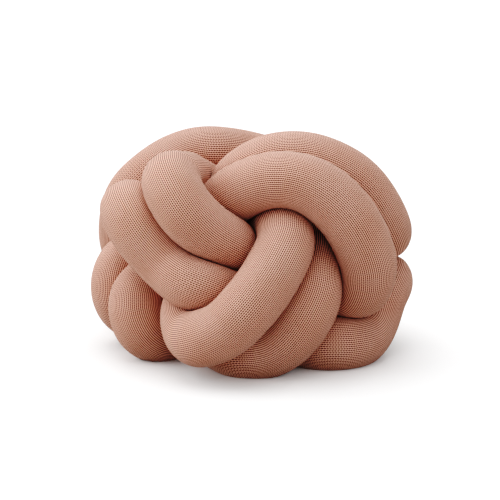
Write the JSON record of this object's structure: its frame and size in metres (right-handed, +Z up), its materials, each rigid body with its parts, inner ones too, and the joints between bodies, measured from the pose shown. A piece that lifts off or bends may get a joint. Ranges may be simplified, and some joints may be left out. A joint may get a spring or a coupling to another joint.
{
  "type": "knot cushion",
  "caption": "Long stuffed tube of fine knitted cloth tied into a ball-shaped knot, used as a cushion on a sofa, chair or bed.",
  "frame": {"origin": "on the surface the cushion rests on, under the middle of its box", "axes": "+Z up from the surface, -Y towards the side with the three crossing loops, +X to the right as seen from that side"},
  "size_m": [0.304, 0.3176, 0.2153],
  "materials": {
    "knit": "soft, matte, fine knit in a dusty terracotta pink"
  },
  "bodies": {
    "root": {"knot_cushion": "knit"}
  },
  "joints": []
}
